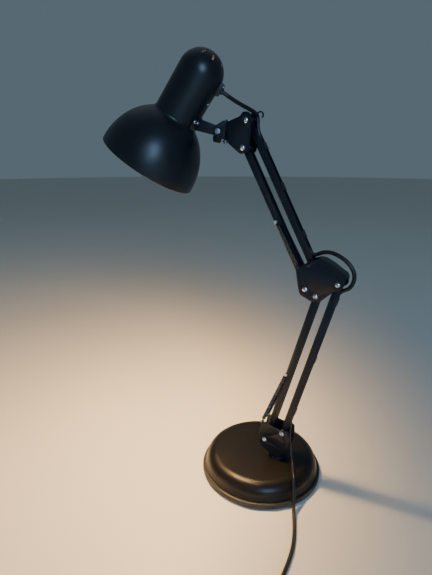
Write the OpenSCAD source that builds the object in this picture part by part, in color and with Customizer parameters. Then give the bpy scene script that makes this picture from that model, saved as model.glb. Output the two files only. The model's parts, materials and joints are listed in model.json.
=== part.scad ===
// Architect desk lamp: round weighted base, two parallelogram arms of steel channel,
// riveted side plates, balance springs, swivelling and tilting head with a bell shade.
// The origin is the middle of the base's underside, +Z is up, and the arms lie in the XZ plane:
// the head reaches towards -X and the cord leaves at the back, +X.

/* [Base] */
// Diameter of the base rim
base_d = 185; // [160:1:220]
// Height of the base's flat top
base_h = 33; // [26:0.5:45]
// Height of the rim band
rim_h = 9; // [7:0.5:12]
// Radius of the shoulder between the flat top and the flank
shoulder_r = 17.6; // [10:0.2:20]
// Wall of the pressed base cover
cover_wall = 1.5; // [1:0.1:3]
// Thickness of the cast ballast disc
ballast_h = 12; // [6:0.5:14]
// Distance of the swivel from the base's middle
swivel_x = 28; // [15:1:40]
// Diameter of the swivel post
post_d = 12; // [8:0.5:16]

/* [Arms] */
// Pivot to pivot length of the lower arm
lower_len = 251; // [200:1:320]
// Pivot to pivot length of the upper arm
upper_len = 202; // [160:1:260]
// Angle of the lower arm, back from upright
lower_lean = 14.74; // [5:0.01:25]
// Angle of the upper arm, forward from upright
upper_lean = 28.34; // [20:0.01:40]
// Distance between the two pivots at each end of an arm
pivot_span = 34; // [30:0.5:40]
// Width of the square steel channel
channel_w = 10; // [8:0.2:11]
// Wall of the steel channel
channel_wall = 1.2; // [0.8:0.1:1.6]
// Diameter of the pivot rivets' shanks
rivet_d = 5; // [4:0.2:6]

/* [Brackets] */
// Width over the two side plates
bracket_w = 26; // [24:0.5:34]
// Thickness of a side plate
plate_t = 1.5; // [1:0.1:2.5]
// Diameter of the domed rivet heads
rivet_head_d = 8; // [7:0.2:10]
// Diameter of the pin that the head swivels on
hinge_pin_d = 5; // [4:0.2:6]
// Diameter of the tilt bolt
tilt_bolt_d = 5; // [4:0.2:6]

/* [Head] */
// Diameter of the shade's rim
shade_d = 139; // [120:1:160]
// Height of the shade's curve, from the rim to where it would close
shade_h = 82; // [70:1:95]
// Diameter of the neck
neck_d = 60.6; // [52:0.2:66]
// Height of the whole head, from the rim to the top of the neck
head_h = 168; // [150:1:190]
// Wall of the shade and of the neck
shade_wall = 0.9; // [0.8:0.1:2]
// Angle of the head's axis from upright, before it swivels
head_lean = 34.8; // [20:0.1:50]
// Angle that the head is swivelled by
head_turn = 23.7; // [-30:0.1:30]
// Diameter of the bulb's globe
bulb_d = 58; // [45:1:60]

/* [Springs and cord] */
// Outer diameter of a balance spring
spring_d = 5.6; // [4.5:0.1:6]
// Diameter of the spring's wire
spring_wire = 0.9; // [0.6:0.1:1.2]
// Diameter of the cord
cord_d = 5.2; // [4:0.1:5.6]

/* [Hidden] */
$fn = 48;

black = "#1d1e20";
soft_black = "#141414";
zinc = "#c9ced2";
steel = "#8d9093";
nylon = "#303134";

// Clearances
run_gap = 0.05;      // radial gap of a pin that turns in its hole
open_gap = 0.3;      // radial gap at the pivots that close the linkages
side_gap = 0.3;      // gap between faces that slide past each other
bush_gap = 0.1;      // gap between a spacer tube and the channel's back
cord_gap = 0.3;      // each cord piece stops this far short of the split to the next one

// ---------- places of the pivots, as [x, z] in the arms' plane ----------
function along(p, angle, len) = p + len * [sin(angle), cos(angle)];
foot_front = [10.5, 61.4];
span_low = 53.8;                               // direction of the lower pivots' line, from upright
span_high = 7.2;                               // direction of the upper pivots' line, from upright
foot_rear = along(foot_front, span_low, pivot_span);
elbow_low_front = along(foot_front, lower_lean, lower_len);
elbow_low_rear = along(foot_rear, lower_lean, lower_len);
elbow_high_front = elbow_low_front + [-14.8, 7.6];
elbow_high_rear = along(elbow_high_front, span_high, pivot_span);
head_front = along(elbow_high_front, -upper_lean, upper_len);
head_rear = along(elbow_high_rear, -upper_lean, upper_len);

plate_in = bracket_w / 2 - plate_t;            // inner face of a side plate
rod_half = channel_w / 2;
rod_end = rod_half + 1.2;                      // how far a channel runs past its pivots
spring_y = (plate_in + rod_half) / 2;          // the springs run between the channels and the plates
lower_hook = foot_front + [-6.5, 28.6];        // spring studs on the lower bracket
upper_hook = elbow_high_front + [-6.1, 18.3];  // spring studs on the elbow
lower_clip_at = 121.6;                         // spring pin's place along the lower front channel
lower_clip_off = -3;
upper_clip_at = 96.5;
upper_clip_off = 0;
function on_rod(p, angle, off, len) = p + off * [cos(angle), -sin(angle)] + len * [sin(angle), cos(angle)];
lower_clip = on_rod(foot_front, lower_lean, lower_clip_off, lower_clip_at);
upper_clip = on_rod(elbow_high_front, -upper_lean, upper_clip_off, upper_clip_at);

// The head turns on a leaning pin in front of its bracket
pin_lean = 9.6;
pin_at = head_front + [-29.7, 22.5];
block_h = 19;                                  // length of the block that the pin runs through
tilt_at = [-12, -2.8];                         // tilt bolt, from the pin, in the pin's own frame
stub_at = [58.2, 91.9];                        // tilt bolt in the head's frame: from its axis, up from the rim
saddle_up = 83;                                // middle of the saddle, up from the rim
neck_r = neck_d / 2;
shade_r = shade_d / 2;
joint_up = shade_h * sqrt(1 - pow(neck_r / shade_r, 2));   // where the shade's curve meets the neck
dome_up = head_h - neck_r;

// ---------- helpers ----------
function unit(v) = v / norm(v);
function arc(c, r, a0, a1, n = 8) = [for (i = [0:n]) let (a = a0 + (a1 - a0) * i / n) c + r * [cos(a), sin(a)]];
// Points of one rounded corner at b, between a and c
function corner(a, b, c, r, n = 6) =
    let (u = unit(a - b), v = unit(c - b), half = acos(u * v) / 2,
        mid = b + unit(u + v) * r / sin(half), p = b + u * r / tan(half) - mid,
        turn = sign(u[0] * v[1] - u[1] * v[0]) * (180 - 2 * half), start = atan2(p[1], p[0]))
    [for (i = [0:n]) let (t = start - turn * i / n) mid + r * [cos(t), sin(t)]];
function rounded(pts, r) = let (m = len(pts))
    [for (i = [0:m - 1]) each corner(pts[(i + m - 1) % m], pts[i], pts[(i + 1) % m], is_list(r) ? r[i] : r)];

// An open line with its inner corners rounded
function rounded_line(pts, r) = let (m = len(pts))
    concat([pts[0]], [for (i = [1:m - 2]) each corner(pts[i - 1], pts[i], pts[i + 1], r[i - 1])], [pts[m - 1]]);

// A flat piece drawn in the XZ plane, from y0 to y0 + t
module slab(y0, t) {
    translate([0, y0 + t, 0]) rotate([90, 0, 0]) linear_extrude(t) children();
}
// A round bar along Y through [x, z], from y0 to y1
module bar(p, y0, y1, r) {
    translate([p[0], y1, p[1]]) rotate([90, 0, 0]) cylinder(h = y1 - y0, r = r);
}
// The same bar on both sides of the arms' plane
module bars(p, y0, y1, r) {
    bar(p, y0, y1, r);
    bar(p, -y1, -y0, r);
}
module at_rod(p, angle) {
    translate([p[0], 0, p[1]]) rotate([0, angle, 0]) children();
}
module at_pin() {
    translate([pin_at[0], 0, pin_at[1]]) rotate([0, pin_lean, 0]) rotate([0, 0, head_turn]) children();
}
module at_head() {
    at_pin() translate([tilt_at[0], 0, tilt_at[1]]) rotate([0, head_lean - pin_lean, 0])
        translate([-stub_at[0], 0, -stub_at[1]]) children();
}
// Directions for points of a cord's route
function spin_z(v, a) = [v[0] * cos(a) - v[1] * sin(a), v[0] * sin(a) + v[1] * cos(a), v[2]];
function lean_y(v, a) = [v[0] * cos(a) + v[2] * sin(a), v[1], v[2] * cos(a) - v[0] * sin(a)];
function from_pin(v) = [pin_at[0], 0, pin_at[1]] + lean_y(spin_z(v, head_turn), pin_lean);
function from_head(v) = from_pin([tilt_at[0], 0, tilt_at[1]]
    + lean_y(v - [stub_at[0], 0, stub_at[1]], head_lean - pin_lean));
function flat(p, y = 0) = [p[0], y, p[1]];

// ---------- a cord along a smooth curve through its points ----------
function curve_at(p, i, t) = let (a = p[max(i - 1, 0)], b = p[i], c = p[i + 1], d = p[min(i + 2, len(p) - 1)])
    0.5 * (2 * b + (c - a) * t + (2 * a - 5 * b + 4 * c - d) * t * t + (3 * b - a - 3 * c + d) * t * t * t);
function curve(p, first, last, step) = concat(
    [for (i = [first:last - 1]) let (n = max(1, round(norm(p[i + 1] - p[i]) / step)))
        for (k = [0:n - 1]) curve_at(p, i, k / n)], [p[last]]);
function way(p, i) = unit(p[min(i + 1, len(p) - 1)] - p[max(i - 1, 0)]);
function across(t, last) = unit(last - (last * t) * t);
function frames(p, ends, i = 0, last = [0, 1, 0], done = []) = i == len(p) ? done :
    let (t = i == 0 ? ends[0] : i == len(p) - 1 ? ends[1] : way(p, i), u = across(t, last))
    frames(p, ends, i + 1, u, concat(done, [[u, cross(t, u)]]));
// The stretch of a route between two of its points, which stops short of both
module cord(route, first = 0, last = -1, step = 13) {
    sides = 8;
    stop = last < 0 ? len(route) - 1 : last;
    ends = [way(route, first), way(route, stop)];
    whole = curve(route, first, stop, step);
    m = len(whole);
    p = [for (i = [0:m - 1]) whole[i] + (i == 0 ? cord_gap * ends[0] : i == m - 1 ? -cord_gap * ends[1] : [0, 0, 0])];
    f = frames(p, ends);
    ring = [for (i = [0:m - 1]) for (k = [0:sides - 1])
        p[i] + cord_d / 2 * (cos(360 * k / sides) * f[i][0] + sin(360 * k / sides) * f[i][1])];
    polyhedron(ring, concat(
        [[for (k = [0:sides - 1]) k]],
        [for (i = [0:m - 2]) for (k = [0:sides - 1]) let (a = i * sides + k, b = i * sides + (k + 1) % sides)
            [a, a + sides, b + sides, b]],
        [[for (k = [sides - 1:-1:0]) (m - 1) * sides + k]]), convexity = 6);
}

// ---------- cord routes ----------
cord_in = 1.0;                                 // the cord's place inside a channel, behind its middle
lead_split = [45.6, 0, 76];                    // where the arm's cord goes over into the lead
function low_rod(off, len) = flat(on_rod(foot_rear, lower_lean, off, len));
function up_rod(off, len) = flat(on_rod(elbow_high_rear, -upper_lean, off, len));
gland_up = 135;                                // middle of the cord gland on the neck
gland_r = neck_r + 4.6;
lower_run = [lead_split, low_rod(7.6, 2), low_rod(4.6, 16), low_rod(cord_in, 34),
    low_rod(cord_in, lower_len / 2), low_rod(cord_in, lower_len - 38), low_rod(1.6, lower_len - 22.6),
    low_rod(3.4, lower_len - 14.2)];
elbow_loop = [for (p = [[106.8, 314.2], [112.2, 317.2], [116, 321.8], [118.4, 328.4], [118.5, 336], [116.2, 342.6],
    [112.4, 348], [107.2, 352.9], [101, 356.9], [94.2, 360], [87, 361.8], [79.8, 361.7], [73.6, 359.9], [68.2, 357.2],
    [63.9, 356.5]])
    flat(p)];
upper_run = [up_rod(4, 13.6), up_rod(2.2, 21), up_rod(cord_in, 34), up_rod(cord_in, upper_len / 2),
    up_rod(cord_in, upper_len - 42), up_rod(3.2, upper_len - 23), up_rod(6, upper_len - 12.5)];
head_run = [[-21.4, 0, 523.2], [-21.8, 0, 528.2], [-25.4, 0, 532.3], [-31.2, 0, 535.8], [-38, 0, 539.3],
    [-46, -0.3, 543.3], [-53.4, -1.1, 547.4], from_head([gland_r + 12, 0, gland_up]),
    from_head([gland_r + 6, 0, gland_up]), from_head([gland_r, 0, gland_up])];
arm_route = concat(lower_run, elbow_loop, upper_run, head_run);
loop_cut = len(lower_run) + 4;                 // where the cord goes over from one body's copy to the next
rod_cut = len(lower_run) + len(elbow_loop) + len(upper_run) - 1;
head_cut = rod_cut + 5;
lead_h = cord_d / 2;
switch_at = [109, -226];
switch_turn = 3;
switch_l = 58;
switch_w = 24;
switch_h = 17;
relief_l = 22;                                 // tapered sleeve where the lead enters the switch or the plug
relief_t = 2.2;
entry_h = lead_h + relief_t + 0.3;             // the lead's height where it enters the switch
bore_l = 4;                                    // how far the lead goes into the switch or the plug
function from_switch(s) = [switch_at[0] - s * sin(switch_turn), switch_at[1] + s * cos(switch_turn), entry_h];
switch_end = switch_l / 2;
lead_route = [lead_split, [46, 0, 66], [48.6, -1.4, 54], [52, -4.5, 43.6], [56.2, -10.4, 38.4], [60.6, -19, 36.6],
    [65.6, -30, 36], [70.6, -40.8, 31.9], [74.8, -50, 22.6], [79, -59.4, 12], [84, -70.4, 4.8],
    [89.6, -82.6, lead_h], [94.4, -95, lead_h], [99, -109, lead_h], [102.4, -123, lead_h], [104.4, -138, lead_h],
    [105.4, -153, lead_h], [106.2, -164, lead_h + 1.4], from_switch(switch_end + relief_l),
    from_switch(switch_end + relief_l / 2), from_switch(switch_end - bore_l)];
lead_route_two = [from_switch(bore_l - switch_end), from_switch(-switch_end - relief_l / 2),
    from_switch(-switch_end - relief_l), [112, -288, lead_h + 1], [109.4, -299, lead_h], [101.6, -309, lead_h],
    [89, -315, lead_h], [74, -317.4, lead_h], [58, -317.6, lead_h]];
coil_at = [45, -281];
coil_pitch = cord_d + 0.2;
coil_in = 4.1 * cord_d;                        // inner turn's middle radius
coil_turns = 4;                                // turns in the bottom layer
coil_out = coil_in + (coil_turns - 1) * coil_pitch;
coil_h = cord_d * 2;
plug_at = [-20, -318];
plug_l = 36;
plug_w = 35;
plug_h = 14;
plug_tail = 8;                                 // narrow end of the plug, behind its place
lead_route_three = [[34, -317.4, 1.5 * cord_d], [26, -318, plug_h / 2 + 0.2],
    [plug_at[0] + plug_tail + relief_l, plug_at[1], plug_h / 2],
    [plug_at[0] + plug_tail + relief_l / 2, plug_at[1], plug_h / 2],
    [plug_at[0] + plug_tail - bore_l, plug_at[1], plug_h / 2]];

// ---------- base ----------
rim_r = base_d / 2;
cover_r = rim_r - 3.9;                         // foot of the cover
flank_r = cover_r - 2.4;                       // where the flank runs into the shoulder
top_r = flank_r - shoulder_r;
groove_h = 1.2;                                // dark gap between the rim and the cover
cover_low = rim_h + groove_h;
seat_w = 3.2;                                  // ledge that carries the cover
pad_h = 1.2;
floor_t = 2.2;
ballast_low = pad_h + floor_t;
post_r = post_d / 2;
socket_r = post_r + 3;
collar_r = socket_r + 4.5;
collar_h = 3;
socket_low = ballast_low + 8;
foot_low = base_h + collar_h + side_gap;

module base_pad() {
    color(soft_black) cylinder(h = pad_h, r = rim_r - 2.5, $fn = 96);
}
module base_rim() {
    seat_r = cover_r - 0.8;
    color(black) difference() {
        rotate_extrude($fn = 120) polygon(concat(
            [[0, pad_h]],
            arc([rim_r - 1, pad_h + 1], 1, -90, 0, 3),
            arc([rim_r - 2.5, rim_h - 2.5], 2.5, 0, 90, 6),
            [[seat_r, rim_h], [seat_r, cover_low], [seat_r - seat_w, cover_low], [seat_r - seat_w, ballast_low],
             [0, ballast_low]]));
        at_base_screws() base_screw();
    }
}
module base_ballast() {
    color("#55585a") difference() {
        translate([0, 0, ballast_low]) cylinder(h = ballast_h, r = top_r + 6, $fn = 96);
        translate([swivel_x, 0, 0]) cylinder(h = base_h, r = socket_r + side_gap);
        at_base_screws() base_screw();
    }
}
module base_cover() {
    inner_r = shoulder_r - cover_wall;
    shoulder_at = [top_r, base_h - shoulder_r];
    color(black) difference() {
        rotate_extrude($fn = 120) polygon(concat(
            [[cover_r, cover_low]], arc(shoulder_at, shoulder_r, 0, 90, 14), [[0, base_h], [0, base_h - cover_wall]],
            arc(shoulder_at, inner_r, 90, 0, 14), [[cover_r - cover_wall, cover_low]]));
        translate([swivel_x, 0, base_h - 2 * cover_wall]) cylinder(h = 3 * cover_wall, r = socket_r);
    }
}
// Bearing tube of the swivel, with the notched ring that clamps the cover
module base_socket() {
    notches = 10;
    color(black) difference() {
        translate([swivel_x, 0, socket_low]) rotate_extrude() polygon([
            [post_r + run_gap, 0], [socket_r, 0], [socket_r, base_h - socket_low], [collar_r, base_h - socket_low],
            [collar_r, base_h - socket_low + collar_h - 1], [collar_r - 1, base_h - socket_low + collar_h],
            [post_r + run_gap, base_h - socket_low + collar_h]]);
        for (i = [0:notches - 1]) translate([swivel_x, 0, 0]) rotate([0, 0, 360 * (i + 0.5) / notches])
            translate([collar_r - 1.6, -1.4, base_h + 0.8]) cube([4, 2.8, collar_h]);
    }
}
// Countersunk screws, up through the floor into the ballast
module at_base_screws() {
    screws = 4;
    for (i = [0:screws - 1]) rotate([0, 0, 45 + 360 * i / screws]) translate([top_r - 12, 0, pad_h]) children();
}
module base_screw() {
    rotate_extrude() polygon([[0, 0], [3.8, 0], [1.9, floor_t - 0.3], [1.9, floor_t + 7], [0, floor_t + 7]]);
}
module base_screws() {
    color(zinc) at_base_screws() base_screw();
}

// ---------- lower bracket, which turns on the base ----------
plate_half = bracket_w / 2;
rivet_r = rivet_d / 2;
rivet_head_r = rivet_head_d / 2;
rivet_dome = 2.3;
boss_r = rivet_r + 1.9;                        // shoulders that centre a channel between the plates
stud_r = 1.5;

module rivet(p) {
    rise = rivet_dome;
    big = (rivet_head_r * rivet_head_r + rise * rise) / (2 * rise);
    span = asin(rivet_head_r / big);
    half = concat([[boss_r, rod_half + side_gap], [boss_r, plate_in], [rivet_r, plate_in], [rivet_r, plate_half]],
        [for (i = [0:5]) let (a = span * (1 - i / 5)) [big * sin(a), plate_half + rise - big + big * cos(a)]]);
    lower = [for (i = [len(half) - 1:-1:0]) [half[i][0], -half[i][1]]];
    translate([p[0], 0, p[1]]) rotate([90, 0, 0]) rotate_extrude(convexity = 4) polygon(concat(
        lower, [[rivet_r, -rod_half - side_gap], [rivet_r, rod_half + side_gap]], half));
}
module studs(p) {
    bars(p, rod_half + 0.8, plate_in, stud_r);
}
module swivel_post() {
    clip_z = socket_low - 2.4;
    color(zinc) translate([swivel_x, 0, 0]) {
        translate([0, 0, ballast_low + 1.6]) cylinder(h = foot_low - ballast_low - 1.6, r = post_r);
        translate([0, 0, clip_z]) cylinder(h = 1.6, r = post_r + 2.4);
    }
}
module bracket_foot() {
    color(black) {
        translate([swivel_x, 0, foot_low]) cylinder(h = 5, r = collar_r - 0.6);
        slab(-plate_in, 2 * plate_in) polygon(rounded(
            [foot_front + [2, -14.4], foot_front + [9, -21], [swivel_x + 9, foot_low + 3],
             foot_rear + [5, -33], foot_rear + [-1, -30]], [1.5, 3, 3, 3, 1.5]));
    }
}
lower_outline = rounded(
    [foot_front + [-5.5, 30.5], foot_rear + [0, 5.6], foot_rear + [11, 7], foot_rear + [11.5, -18],
     foot_rear + [8, -28.5], foot_rear + [-1, -38.5], foot_front + [9.5, -20], foot_front + [-4, -13],
     foot_front + [-9, -5], foot_front + [-9, 14]],
    [3, 8, 4, 8, 8, 10, 12, 8, 6, 30]);
module lower_plate(y0) {
    slab(y0, plate_t) difference() {
        polygon(lower_outline);
        for (p = [foot_front, foot_rear]) translate(p) circle(r = rivet_r);
    }
}
module lower_plate_near() { color(black) lower_plate(-plate_half); }
module lower_plate_far() { color(black) lower_plate(plate_in); }
// Ribbed nylon liners on the plates' inner faces
module lower_liners() {
    ribs = 6;
    color(nylon) for (y0 = [-plate_in, plate_in - 1]) {
        slab(y0, 1) polygon(rounded([foot_front + [8, 16], foot_front + [9, 27], foot_rear + [-3, 4.5],
            foot_rear + [-7, -6]], 2));
    }
    color(nylon) for (side = [-1, 1], i = [0:ribs - 1]) {
        translate([foot_front[0] + 10.5 + 2.1 * i, side * (plate_in - 1) - (side > 0 ? 1 : 0),
            foot_front[1] + 17.5]) cube([1.1, 1, 6.5]);
    }
}
module lower_rivets() {
    color(zinc) {
        rivet(foot_front);
        rivet(foot_rear);
        studs(lower_hook);
    }
}

// ---------- steel channels of the arms ----------
// One channel: pivots at 0 and len along +Z, open towards +X; gaps are the radial clearances at its two pivots
module channel(len, gaps, clip, tabs) {
    corner_r = 2;
    inner = rod_half - channel_wall;
    difference() {
        intersection() {
            translate([0, 0, -rod_end]) linear_extrude(len + 2 * rod_end) polygon(concat(
                [[rod_half, -rod_half], [rod_half, -inner], [-inner, -inner], [-inner, inner], [rod_half, inner],
                 [rod_half, rod_half]],
                arc([-rod_half + corner_r, rod_half - corner_r], corner_r, 90, 180, 5),
                arc([-rod_half + corner_r, -rod_half + corner_r], corner_r, 180, 270, 5)));
            slab(-rod_half, channel_w) polygon(rounded(
                [[-rod_half, -rod_end], [rod_half, -rod_end], [rod_half, len + rod_end], [-rod_half, len + rod_end]],
                rod_half - 0.6));
        }
        bar([0, 0], -rod_half - 1, rod_half + 1, rivet_r + gaps[0]);
        bar([0, len], -rod_half - 1, rod_half + 1, rivet_r + gaps[1]);
        if (is_list(clip)) bar(clip, -rod_half - 1, rod_half + 1, stud_r);
    }
    for (z = tabs) translate([rod_half, -rod_half, z]) cube([0.9, channel_w, 11]);
}
// Spacer tubes inside a channel, at its pivots
module bushes(len, gaps) {
    inner = rod_half - channel_wall;
    for (i = [0, 1]) difference() {
        bar([0, i * len], -inner, inner, inner - bush_gap);
        bar([0, i * len], -inner - 1, inner + 1, rivet_r + gaps[i]);
    }
}
// Cross pin for the springs' upper loops
module spring_pin(p) {
    end = plate_in - side_gap;
    bar(p, -end, end, stud_r);
    bars(p, end - 0.8, end, stud_r + 0.9);
}
tight = [run_gap, run_gap];
opened = [run_gap, open_gap];

module lower_front_channel() {
    color(black) at_rod(foot_front, lower_lean)
        channel(lower_len, opened, [lower_clip_off, lower_clip_at], []);
}
module lower_front_bushes() {
    color(steel) at_rod(foot_front, lower_lean) bushes(lower_len, opened);
}
module lower_spring_pin() {
    color(steel) at_rod(foot_front, lower_lean) spring_pin([lower_clip_off, lower_clip_at]);
}
module lower_rear_channel() {
    color(black) at_rod(foot_rear, lower_lean) channel(lower_len, tight, 0, [32, lower_len / 2, lower_len - 33]);
}
module lower_rear_bushes() {
    color(steel) at_rod(foot_rear, lower_lean) bushes(lower_len, tight);
}
module lower_cord() { color(soft_black) cord(arm_route, 0, loop_cut); }
module upper_front_channel() {
    color(black) at_rod(elbow_high_front, -upper_lean)
        channel(upper_len, opened, [upper_clip_off, upper_clip_at], []);
}
module upper_front_bushes() {
    color(steel) at_rod(elbow_high_front, -upper_lean) bushes(upper_len, opened);
}
module upper_spring_pin() {
    color(steel) at_rod(elbow_high_front, -upper_lean) spring_pin([upper_clip_off, upper_clip_at]);
}
// Flat hook at the channel's top, cut from its near side
module cord_hook(at, r) {
    slab(-rod_half, channel_wall) {
        polygon(concat(arc(at, r, 190, -80, 16), arc(at, r - 1.8, -80, 190, 16)));
        translate([rod_half - 1, at[1] - 1]) square([at[0] - r + 1.6 - rod_half, 2]);
    }
}
module upper_rear_channel() {
    color(black) at_rod(elbow_high_rear, -upper_lean) {
        channel(upper_len, tight, 0, [34, upper_len / 2, upper_len - 44]);
        cord_hook([rod_half + 12, upper_len - 2.8], 5);
    }
}
module upper_rear_bushes() {
    color(steel) at_rod(elbow_high_rear, -upper_lean) bushes(upper_len, tight);
}
module upper_cord() { color(soft_black) cord(arm_route, loop_cut, rod_cut); }

// ---------- elbow ----------
elbow_back = [elbow_high_front + [13, 41.6], elbow_high_front + [19.5, 40.6], elbow_high_front + [31, 35],
    elbow_low_rear + [0.7, 14.6], elbow_low_rear + [6, 11.6], elbow_low_rear + [8.3, 6.6]];
elbow_outline = rounded(concat(
    [elbow_high_front + [-8, -3.4], elbow_high_front + [-10.2, 6], elbow_high_front + [-12, 16],
     elbow_high_front + [-13.8, 25.4], elbow_high_front + [4.6, 38.6]], elbow_back,
    [elbow_low_rear + [5, -6.2], elbow_low_rear + [-4, -9.4], elbow_low_front + [5, -7.6],
     elbow_low_front + [-6.6, -6.8], elbow_high_front + [-6, -8]]),
    [4, 20, 20, 3, 3, 4, 12, 20, 6, 4, 6, 6, 6, 6, 6, 4]);
module elbow_plate(y0) {
    slab(y0, plate_t) difference() {
        polygon(elbow_outline);
        for (p = [elbow_low_front, elbow_low_rear, elbow_high_front, elbow_high_rear]) translate(p) circle(r = rivet_r);
    }
}
// Raised ring pressed round a pivot on a plate's outer face
module boss(p, side) {
    difference() {
        bar(p, side < 0 ? -plate_half - 0.8 : plate_half, side < 0 ? -plate_half : plate_half + 0.8, rivet_head_r + 3.4);
        bar(p, -plate_half - 2, plate_half + 2, rivet_head_r + 0.2);
    }
}
module elbow_plate_near() {
    color(black) {
        elbow_plate(-plate_half);
        boss(elbow_low_rear, -1);
    }
}
module elbow_plate_far() {
    color(black) {
        elbow_plate(plate_in);
        boss(elbow_low_rear, 1);
    }
}
// Curved back of the elbow, between the plates
module elbow_web() {
    edge = rounded_line(elbow_back, [20, 30, 8, 4]);
    function side(i) = unit(edge[min(i + 1, len(edge) - 1)] - edge[max(i - 1, 0)]);
    inner = [for (i = [len(edge) - 1:-1:0]) edge[i] + plate_t * [side(i)[1], -side(i)[0]]];
    color(black) slab(-plate_in, 2 * plate_in) polygon(concat(edge, inner));
}
module elbow_rivets() {
    color(zinc) {
        for (p = [elbow_low_front, elbow_low_rear, elbow_high_front, elbow_high_rear]) rivet(p);
        studs(upper_hook);
    }
}

// ---------- head bracket ----------
head_outline = rounded(
    [head_rear + [-28.5, -1.5], head_rear + [-8.5, 4.8], head_rear + [-4.6, 10.4], head_rear + [6.6, 9.4],
     head_rear + [8, -2], head_front + [11, 8], head_front + [7.5, -6.5], head_front + [-3.4, -7.8],
     head_front + [-21, 5.5], head_front + [-24.2, 22]],
    [3, 8, 5, 6, 8, 20, 6, 6, 4, 12]);
module head_plate(y0) {
    slab(y0, plate_t) difference() {
        polygon(head_outline);
        for (p = [head_front, head_rear]) translate(p) circle(r = rivet_r);
    }
}
module head_plate_near() {
    color(black) {
        head_plate(-plate_half);
        boss(head_rear, -1);
    }
}
module head_plate_far() {
    color(black) {
        head_plate(plate_in);
        boss(head_rear, 1);
    }
}
hinge_r = hinge_pin_d / 2;
barrel_r = hinge_r + 2.1;
// Block between the plates that the swivel pin runs through
module head_hinge_block() {
    throat = 6.6;
    color(black) translate([pin_at[0], 0, pin_at[1]]) rotate([0, pin_lean, 0]) difference() {
        translate([0, 0, -block_h / 2]) linear_extrude(block_h) polygon(concat(
            arc([0, 0], barrel_r, 90, 270, 12),
            [[throat, -barrel_r], [throat + 2.6, -plate_in], [throat + 6, -plate_in], [throat + 6, plate_in],
             [throat + 2.6, plate_in], [throat, barrel_r]]));
        translate([0, 0, -block_h]) cylinder(h = 2 * block_h, r = hinge_r + run_gap);
    }
}
module head_rivets() {
    color(zinc) {
        rivet(head_front);
        rivet(head_rear);
    }
}
module head_cord_rear() { color(soft_black) cord(arm_route, rod_cut, head_cut, 6); }

// ---------- yoke: swivels on the bracket, carries the tilt bolt ----------
eye_half = 4.9;                                // half width of the stub arm
eye_r = 6;
cheek_in = eye_half + side_gap;
cheek_t = 1.6;
ear_t = 1.8;
ear_in = block_h / 2 + side_gap;
bolt_r = tilt_bolt_d / 2;
yoke_half = cheek_in + cheek_t;
module head_yoke() {
    reach = tilt_at[0];
    top = ear_in + ear_t;
    color(black) at_pin() difference() {
        union() {
            for (z0 = [-top, ear_in]) translate([0, 0, z0]) linear_extrude(ear_t) polygon(concat(
                arc([0, 0], barrel_r + 1, -90, 90, 12),
                [[-1.6, yoke_half], [-6.5, yoke_half], [-6.5, -yoke_half], [-1.6, -yoke_half]]));
            for (y0 = [-yoke_half, cheek_in]) slab(y0, cheek_t) polygon(rounded(
                [[-1.6, -top], [-1.6, top], [-6.5, top], [reach - 6.4, tilt_at[1] + 5],
                 [reach - 6.4, tilt_at[1] - 5], [-6.5, -top]], [0.6, 0.6, 2, 4.5, 4.5, 2]));
        }
        translate([0, 0, -2 * block_h]) cylinder(h = 4 * block_h, r = hinge_r);
        bar(tilt_at, -2 * yoke_half, 2 * yoke_half, bolt_r);
    }
}
module yoke_pin() {
    top = ear_in + ear_t;
    color(zinc) at_pin() {
        translate([0, 0, -top - 6]) cylinder(h = 2 * top + 6, r = hinge_r);
        translate([0, 0, top]) cylinder(h = 1.8, r = hinge_r + 1.8);
        translate([0, 0, -top - 4.2]) cylinder(h = 2.6, r = hinge_r + 1.8);
    }
}
knob_in = yoke_half + side_gap;
knob_l = 9;
module tilt_bolt() {
    color(zinc) at_pin() {
        bar(tilt_at, -yoke_half, knob_in + knob_l - 1, bolt_r);
        difference() {
            bar(tilt_at, -yoke_half - 2.6, -yoke_half, 3.6);
            translate([tilt_at[0] - 4, -yoke_half - 3.4, tilt_at[1] - 0.5]) cube([8, 1.8, 1]);
        }
    }
}
// Nut of the tilt bolt, with a broad lever that hangs down
module tilt_knob() {
    grip = [for (p = [[3.6, 0], [4.6, -8], [4.2, -15.6], [-6.4, -15.2], [-7.4, -8.6], [-4, 0]]) tilt_at + p];
    color(nylon) at_pin() difference() {
        union() {
            bar(tilt_at, knob_in, knob_in + knob_l, bolt_r + 2.6);
            slab(knob_in + 1.4, 5) polygon(rounded(grip, [1, 3, 2.4, 3.4, 4, 1]));
        }
        bar(tilt_at, 0, knob_in + knob_l + 1, bolt_r + run_gap);
    }
}
module head_cord_front() { color(soft_black) cord(arm_route, head_cut); }

// ---------- head, drawn upright with its rim at Z = 0, then leaned and turned ----------
saddle_t = 1.6;
saddle_r = neck_r + saddle_t;
saddle_low = joint_up + side_gap;
saddle_high = saddle_up + 10;
saddle_span = 36;                              // half of the saddle's angle round the neck
module stub_arm() {
    root = saddle_r - 1;
    color(black) at_head() difference() {
        slab(-eye_half, 2 * eye_half)
            polygon(concat([[root, saddle_up + 8.5], [root, saddle_up - 7.5]], arc(stub_at, eye_r, -70, 105, 16)));
        cylinder(h = head_h, r = saddle_r, $fn = 96);
        bar(stub_at, -2 * eye_half, 2 * eye_half, bolt_r + run_gap);
    }
}
module stub_saddle() {
    color(black) at_head() rotate([0, 0, -saddle_span]) rotate_extrude(angle = 2 * saddle_span, $fn = 96)
        translate([neck_r, saddle_low]) square([saddle_t, saddle_high - saddle_low]);
}
module pan_screw(r = 3, h = 1.9) {
    rotate([0, 90, 0]) rotate_extrude() polygon([[0, 0], [r, 0], [r, h * 0.4], [r * 0.72, h * 0.85], [r * 0.3, h], [0, h]]);
}
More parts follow.
